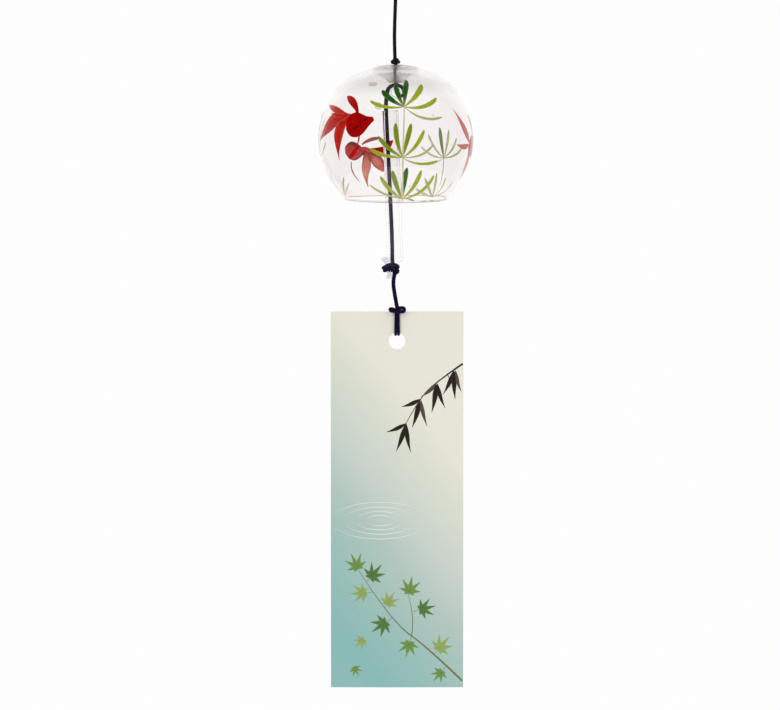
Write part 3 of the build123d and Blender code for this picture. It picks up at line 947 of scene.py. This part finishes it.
weed_whorls = [
    ((4.2, -84.5), [
        ((-5.8, -86), (-12.8, -81.5), 1.7, light_leaf), ((-2.8, -81.5), (-6.8, -76.5), 2.5, dark_leaf),
        ((0.4, -78.5), (-0.1, -73.2), 2.5, dark_leaf), ((4.2, -77), (5.4, -71.7), 2.6, dark_leaf),
        ((10.2, -80), (12.9, -73.8), 2.3, light_leaf), ((14.2, -86.5), (20.2, -80.2), 2, light_leaf),
        ((13.2, -93), (23.2, -89.5), 1.3, pale_leaf),
    ]),
    ((3.5, -109.6), [
        ((-6.3, -109.5), (-13.1, -105.2), 2, light_leaf), ((-3.8, -106), (-8.8, -99), 2.2, mid_leaf),
        ((-0.1, -102), (-0.1, -92.5), 2.4, mid_leaf), ((5.4, -102), (7.7, -92.8), 2.4, mid_leaf),
        ((10.7, -105), (14.2, -95.8), 2, light_leaf), ((14.2, -110), (18.7, -102.8), 1.2, pale_leaf),
        ((11.2, -115), (20.9, -111), 1.3, light_leaf),
    ]),
    ((3.2, -130), [
        ((-5.8, -128.5), (-13.1, -123), 1.2, pale_leaf), ((-3.8, -126), (-7.6, -118.8), 2.2, light_leaf),
        ((-0.3, -123), (-1.6, -116), 2.4, mid_leaf), ((3.9, -121), (5.7, -114.5), 2.6, dark_leaf),
        ((9.7, -124.5), (12.7, -115.8), 2.3, light_leaf), ((13.7, -128), (18.9, -118.2), 2, light_leaf),
        ((6.2, -129.5), (9.2, -131), 0.9, pale_leaf),
    ]),
]
back_whorls = [
    ((24.2, -110), [
        ((18.7, -106), (16.4, -98), 1.4, faint_weed), ((22.4, -102.5), (22.2, -94.5), 2.1, dark_weed),
        ((25.9, -103), (26.7, -95.8), 1.7, pale_weed), ((29.2, -106), (30.7, -99.8), 1.5, pale_weed),
        ((31.2, -109.5), (33.7, -104), 1.4, pale_weed), ((17.2, -110), (12.7, -104), 1.1, faint_weed),
        ((18.2, -114), (14.2, -113), 0.9, faint_weed),
    ]),
    ((18.7, -130), [
        ((14.2, -129), (10.2, -125.5), 1.3, faint_weed), ((16.2, -126), (14.7, -120), 1.3, pale_weed),
        ((19.2, -125), (20.7, -117.5), 1.4, pale_weed), ((22.7, -127), (25.2, -120), 1.2, faint_weed),
        ((25.2, -128), (28.7, -122), 1.1, faint_weed),
    ]),
    ((-28, -130), [
        ((-32, -123), (-35.2, -114.8), 1.2, pale_weed),
        ((-30.4, -125), (-32.8, -117.6), 0.9, faint_weed),
        ((-25.6, -126), (-26.2, -119.6), 1.1, pale_weed),
        ((-24.2, -127), (-23.6, -122.6), 0.8, faint_weed),
    ]),
]
# round the left side: degrees from the front, and heights
side_leaves = [
    ([(-76, -108), (-72, -100), (-68, -89)], 1.2, pale_weed),
    ([(-79, -108), (-78, -98), (-75, -86)], 1.3, dark_weed),
    ([(-82, -107), (-85, -97), (-84, -86)], 1.1, pale_weed),
    ([(-74, -108), (-67, -106), (-62, -101)], 1.2, pale_weed),
    ([(-84, -109), (-92, -106), (-98, -99)], 1.1, faint_weed),
]


def leaf_colours(tone):
    # pale at the foot and a little darker at the tip
    dark_tip = tuple(0.82 * part for part in tone)
    foot_tone = tuple(0.4 * part + 0.6 * pale for part, pale in zip(tone, pale_leaf))
    low_tone = tuple(0.75 * part + 0.25 * pale for part, pale in zip(tone, pale_leaf))
    return [foot_tone, low_tone, tone, tone, tone, dark_tip]


def leaves(wall, whorls, base, widest, *how):
    return [glass_stroke(wall, [foot, via, tip], swelling(width, base, widest), leaf_colours(tone), *how)
            for foot, whorl in whorls for via, tip, width, tone in whorl]


weed = leaves("front", weed_whorls, 0.16, 0.72, 0, 0.16)
stem = [(4.2, -83.5), (3.7, -101), (3.3, -116), (3.2, -130.8)]
weed.append(glass_stroke("front", stem, [0.5, 0.8, 0.75, 0.8], [stem_tone], 1))
weed += leaves("back", back_whorls, 0.2, 0.7)
back_stem = [(24.2, -109.5), (23.7, -117), (22.2, -124)]
weed.append(glass_stroke("back", back_stem, [0.5, 0.6, 0.3], [pale_leaf, faint_weed]))
weed += [glass_stroke("side", spots, swelling(width, 0.2, 0.7), leaf_colours(tone))
         for spots, width, tone in side_leaves]
painted("glass_weed", "bell", "paint", weed)

# Goldfish: a deep red one in front, a paler one on the back wall and one round the right side
body_red = (0.56, 0.0015, 0.001)
gill_red = (0.17, 0.0008, 0.0008)
fin_red = (0.74, 0.012, 0.005)
tip_red = (0.68, 0.008, 0.003)
eye_black = (0.012, 0.002, 0.002)
soft_body = (0.70, 0.10, 0.09)
soft_stroke = (0.74, 0.008, 0.010)
soft_fin = (0.96, 0.34, 0.26)
soft_edge = (0.80, 0.11, 0.10)
soft_pink = (0.80, 0.28, 0.29)
deep_lobe = (0.52, 0.006, 0.002)

fish_bodies = [glass_stroke(*row) for row in (
    ("front", [(-24.6, -94.2), (-18.5, -93.6), (-11, -90.3)],
     [3, 8.2, 10.8, 12, 12.2, 11.8, 10.6, 8.8, 6.6, 4.6, 3.2, 2], [body_red], 1, 0),
    ("front", [(-15.6, -91), (-15.1, -90.9), (-14.5, -90.8)], swelling(1.6, 0.3, 0.5),
     [eye_black], 3, 0),
    ("front", [(-16.9, -88.2), (-18.3, -91.5), (-17, -95.2)], [0.2, 0.45, 0.5, 0.2], [gill_red],
     2, 0),
    ("front", [(-18.6, -94), (-21.3, -95.3), (-22.8, -97.6)], [0.6, 1.7, 1.9, 0.6],
     [gill_red, body_red], 2, 0),
    ("front", [(-18.9, -87.5), (-19.4, -82.5), (-23.9, -79.4)], [1.4, 2.2, 3.1, 3.3, 2.6, 0.6],
     [body_red, tip_red], 0, 0.02),
    ("front", [(-18.3, -98.8), (-18.1, -101.2), (-19.3, -103.6)], [1, 0.9, 0.7, 0.3],
     [body_red, soft_edge]),
    ("back", [(-25.6, -106), (-21, -106.6), (-15.6, -106.8)],
     [3, 6.8, 8.8, 9.6, 9.4, 8.4, 6.6, 4.2, 2.4], [soft_body]),
    ("back", [(-23.6, -110.3), (-21.6, -108.4), (-19, -104.2)], swelling(2.1, 0.4, 0.5),
     [soft_stroke], 2, 0),
    ("back", [(-17.8, -106.2), (-15.3, -104), (-12.5, -107)], [2.6, 2, 1.8, 2.2],
     [soft_body, soft_edge], 1),
    ("back", [(-17, -103.2), (-13.3, -100.2), (-7.8, -99.9)], swelling(1.9, 0.4, 0.6),
     [soft_pink]),
    ("back", [(-22.3, -112), (-22.8, -117), (-18.1, -122)], [0.5, 0.7, 1, 0.8, 0.3],
     [soft_edge, soft_pink]),
    ("back", [(-13.8, -105.6), (-7, -107.6), (1, -104)], [1, 2.6, 3.7, 3.6, 2.2, 0.4],
     [deep_lobe, deep_lobe, tip_red], 1, 0.02),
    ("side", [(67, -104), (76, -103.6), (86, -101.5)],
     [2.6, 7.6, 10.2, 11.2, 10.8, 9.2, 6.6, 3.6, 1.8], [body_red, soft_stroke], 1),
    ("side", [(82, -101.4), (82.8, -101.3), (83.8, -101.2)], swelling(1.6, 0.3, 0.5),
     [eye_black], 3, 0),
    ("side", [(76, -98), (77, -92.5), (72, -88)], [1.4, 2.4, 2.8, 2.2, 0.5],
     [soft_edge, soft_pink]),
)]
fish_fins = [glass_stroke(*row) for row in (
    ("front", [(-23, -88.6), (-27, -87.2), (-32.6, -83.9)], [0.8, 1.6, 2.6, 3, 2.2, 0.5],
     [fin_red]),
    ("front", [(-23.3, -88.9), (-27, -89), (-31.6, -88)], [0.7, 1.6, 2.4, 2, 0.4],
     [fin_red, tip_red]),
    ("front", [(-21.8, -88.6), (-28.6, -89.2), (-34.6, -96), (-37.3, -102)],
     [1.2, 2.4, 4.8, 7.2, 7.8, 6.4, 4, 1.6, 0.3], [tip_red, fin_red, fin_red]),
    ("front", [(-22.4, -89.2), (-27.6, -93.5), (-28.8, -102.5), (-27.9, -110.8)],
     [1.4, 3.2, 5.4, 6.6, 6.4, 4.8, 2.8, 1.1, 0.3], [tip_red, fin_red, fin_red]),
    ("back", [(-15.3, -105.6), (-14.2, -112), (-15.6, -118), (-13.8, -124.8)],
     [1.4, 3, 4.6, 5, 4, 2.4, 1, 0.3], [soft_edge, soft_fin, soft_fin, soft_edge]),
    ("back", [(-14.4, -105.8), (-10.8, -108), (-6.2, -116.8)],
     [1.4, 3.4, 5.4, 6.4, 6, 4, 0.8], [soft_edge, soft_fin, soft_edge]),
    ("side", [(68, -101), (61, -95), (52.5, -84.8)], [1.6, 3.2, 3.8, 2.8, 1.4, 0.3],
     [soft_edge, soft_fin]),
    ("side", [(67, -102.5), (60, -104.2), (50.5, -101.8)], [1.4, 2.6, 2.6, 1.6, 0.3],
     [soft_edge, soft_fin]),
    ("side", [(69, -105), (71, -111), (68, -119)], [1.6, 3.4, 4, 2.6, 0.4],
     [soft_edge, soft_fin]),
)]
painted("glass_fish", "bell", "paint", fish_bodies)
painted("glass_fins", "bell", "fin_paint", fish_fins)

# Print on the strip: a bamboo spray in ink, ripples, and maple leaves on a young branch
ink_dark = (0.020, 0.012, 0.008)
ink_wash = (0.085, 0.058, 0.040)
maple_dark = (0.075, 0.17, 0.035)
maple_mid = (0.13, 0.25, 0.05)
maple_light = (0.24, 0.34, 0.09)
twig_tone = (0.16, 0.17, 0.06)
ripple_tone = (0.62, 0.66, 0.59)


def ink_stroke(spots, widths, colours, thin_edge=0.03):
    surface = card_point, card_spot, strip_t / 2 + ink_lift
    return stroke_part(surface, spots, widths, colours, ink_t, thin_edge)


bamboo_shape = [0.12, 0.55, 0.88, 1.0, 0.92, 0.72, 0.48, 0.24, 0.06]
maple_shape = [0.14, 0.26, 0.27, 0.19, 0.10, 0.02]
maple_lobes = (-126, 0.42), (-84, 0.72), (-40, 0.92), (0, 1.0), (40, 0.92), (84, 0.72), (126, 0.42)


def bamboo_leaf(foot, tip, bow, width, tone):
    (x0, z0), (x1, z1) = foot, tip
    middle = ((x0 + x1) / 2 - (z1 - z0) * bow, (z0 + z1) / 2 + (x1 - x0) * bow)
    return ink_stroke([foot, middle, tip], [width * share for share in bamboo_shape], [tone])


bamboo_leaves = [
    ((29, -216.6), (23.6, -228.6), 0.08, 2.3, ink_dark),
    ((29.4, -216.8), (29.8, -231), -0.05, 2.6, ink_dark),
    ((30, -216.4), (33, -227.4), -0.10, 2, ink_wash),
    ((20.4, -222.6), (12.6, -229.6), 0.12, 2.1, ink_wash),
    ((20.2, -223), (18, -237.6), 0.06, 2.7, ink_dark),
    ((20.8, -223), (24.8, -235.4), -0.08, 2.2, ink_dark),
    ((12.2, -230.8), (2.8, -234.6), 0.12, 2.2, ink_dark),
    ((12, -231.2), (8.2, -245.2), 0.06, 2.7, ink_dark),
    ((12.6, -231.2), (15.8, -244.6), -0.07, 2.1, ink_wash),
    ((5.2, -243), (-4.8, -247.4), 0.10, 2.1, ink_dark),
    ((5, -243.4), (0.2, -257.2), 0.05, 2.5, ink_dark),
    ((5.4, -243.4), (7.6, -257.6), -0.08, 2.3, ink_dark),
]
print_parts = [
    ink_stroke([(33.6, -213.0), (22.0, -221.0), (12.0, -230.0), (5.0, -243.4)], [1.0, 0.7, 0.5, 0.3],
               [ink_dark, ink_wash, ink_dark]),
    ink_stroke([(26.0, -218.6), (27.4, -221.0), (27.2, -225.0)], [0.4, 0.3, 0.2], [ink_dark]),
]
print_parts += [bamboo_leaf(*leaf) for leaf in bamboo_leaves]

ring_x, ring_z, ring_flatness = -8, -292, 0.42
for radius in (7.0, 12.5, 18.5, 25.0):
    for half in (-0.9, 0.9):
        arc = [(ring_x + radius * cos(angle), ring_z + half * ring_flatness * radius * sin(angle))
               for angle in np.linspace(radians(200), radians(345), 7)]
        print_parts.append(ink_stroke(arc, [0.1, 0.4, 0.5, 0.4, 0.1], [ripple_tone], 0.0))


def maple(foot, turn, stalk, size, tone):
    # a stalk from the branch and a leaf of seven lobes; turn is in degrees from upright
    way = sin(radians(turn)), cos(radians(turn))
    x, z = foot[0] + stalk * way[0], foot[1] + stalk * way[1]
    parts = [ink_stroke([foot, (x - 0.4 * way[1], z + 0.4 * way[0]), (x, z)], [0.25, 0.22, 0.3],
                        [twig_tone, tone])]
    for lobe, reach in maple_lobes:
        angle = radians(turn + lobe)
        dx, dz = size * reach * sin(angle), size * reach * cos(angle)
        spots = [(x, z), (x + dx * 0.5, z + dz * 0.5), (x + dx, z + dz)]
        parts.append(ink_stroke(spots, [size * share for share in maple_shape], [tone], 0.06))
    return parts


branch = [(33.4, -373), (16, -356), (-2, -343), (-18, -318)]
twig = [(8, -350), (9.5, -341), (6.5, -330)]
print_parts.append(ink_stroke(branch, [1.1, 0.8, 0.5, 0.25], [twig_tone]))
print_parts.append(ink_stroke(twig, [0.5, 0.4, 0.2], [twig_tone]))
for maple_leaf in (
    ((-18, -318), -25, 3, 7.4, maple_mid), ((-14.6, -323.2), 40, 4, 7.8, maple_dark),
    ((-11.6, -328), -95, 4.5, 7, maple_light), ((-5.6, -336.6), 30, 3.5, 6.6, maple_light),
    ((6.5, -330), 10, 2.5, 7.6, maple_mid), ((8.8, -338), 75, 4.5, 7.2, maple_dark),
    ((-1.6, -341), -125, 5, 7.8, maple_dark), ((8, -350), -165, 4.5, 7, maple_mid),
    ((19, -360), 40, 4.5, 7.6, maple_light), ((25, -366), -140, 3.5, 5.8, maple_mid),
    ((-16, -352), -130, 0.8, 5.2, maple_light), ((-21, -366), 150, 0.8, 4.6, maple_mid),
):
    print_parts += maple(*maple_leaf)
painted("strip_print", "strip", "ink", print_parts)

# Camera, floor and lights
sensor_width = 36.0
camera_data = bpy.data.cameras.new("camera")
camera_data.sensor_width = sensor_width
camera_data.lens = sensor_width * camera_distance / photo_width
camera_data.clip_start = 0.1
camera_data.clip_end = 50.0
camera = add_object("camera", camera_data)
camera.location = eye * MM
camera.rotation_euler = (pi / 2 - camera_pitch, 0, 0)
bpy.context.scene.camera = camera

floor_z = -560.0
floor_r = 600.0
floor_sides = 96
floor = mesh_object(
    "floor",
    [(floor_r * cos(t), floor_r * sin(t), floor_z)
     for t in np.arange(floor_sides) * 2 * pi / floor_sides],
    [list(range(floor_sides))],
    new_material("floor_white", Base_Color=(0.9, 0.9, 0.9, 1), Roughness=0.9)[0],
)


def area_light(name, place, size, power):
    data = bpy.data.lights.new(name, "AREA")
    data.shape = "DISK"
    data.size = size
    data.energy = power
    light = add_object(name, data)
    light.location = place
    aim = Vector((0, 0, -0.2)) - Vector(place)
    light.rotation_euler = aim.to_track_quat("-Z", "Y").to_euler()
    for ray in ("camera", "glossy", "transmission"):
        setattr(light, "visible_" + ray, False)


area_light("key", (-0.9, -1.6, 0.8), 0.8, 7)
area_light("fill", (1.2, -1.4, 0.2), 1.0, 3)


def background(tree, colour):
    return add_node(tree, "Background", {"Color": colour, "Strength": 1.0}).outputs[0]


def mix_shaders(tree, share, first, second):
    return add_node(tree, "MixShader", {0: share, 1: first, 2: second}).outputs[0]


# tones of the studio, from behind the viewer to behind the bell, as reflections show them
mirrored_tones = [
    (0, (0.02, 0.02, 0.02)), (0.50, (0.03, 0.03, 0.03)), (0.62, (0.16, 0.16, 0.16)),
    (0.74, (0.50, 0.50, 0.50)), (0.86, (1.06, 1.05, 1.05)),
]
# and as they show through clear glass, from the side to the front or the back
clear_tones = [
    (0, (1.04, 1.03, 1.03)), (0.10, (1, 0.99, 0.99)), (0.25, (0.66, 0.65, 0.65)),
    (0.38, (0.66, 0.65, 0.65)), (0.60, (1.06, 1.05, 1.05)),
]
lit_tone = (1, 1, 1, 1)
paper_tone = (0.985, 0.985, 0.985, 1)


def studio_world():
    # reflections show white paper behind the bell and a dark studio in front of it. Through the
    # glass there is paper on both sides, and matt surfaces have even light
    world = bpy.data.worlds.new("studio")
    world.use_nodes = True
    bpy.context.scene.world = world
    tree = world.node_tree
    tree.nodes.clear()
    way = add_node(tree, "TexCoord").outputs["Generated"]
    away = add_node(tree, "SeparateXYZ", {"Vector": way}).outputs["Y"]
    mirrored = add_ramp(tree, map_range(tree, away, -1.0, 1.0), mirrored_tones)
    clear = add_ramp(tree, calculate(tree, "ABSOLUTE", away), clear_tones)
    rays = add_node(tree, "LightPath").outputs
    straight = calculate(tree, "LESS_THAN", rays["Glossy Depth"], 0.5)
    after_diffuse = calculate(tree, "GREATER_THAN", rays["Diffuse Depth"], 0.5)
    met = background(tree, mix_colours(tree, straight, mirrored, clear))
    lit = mix_shaders(tree, after_diffuse, met, background(tree, lit_tone))
    shown = mix_shaders(tree, rays["Is Camera Ray"], lit, background(tree, paper_tone))
    output = add_node(tree, "OutputWorld")
    tree.links.new(shown, output.inputs["Surface"])


studio_world()
bpy.context.scene.view_settings.view_transform = "Standard"

# Light goes to and fro many times in the thick crown of the glass
light_bounces = 32
for rays in ("max", "glossy", "transmission", "transparent_max"):
    setattr(bpy.context.scene.cycles, rays + "_bounces", light_bounces)
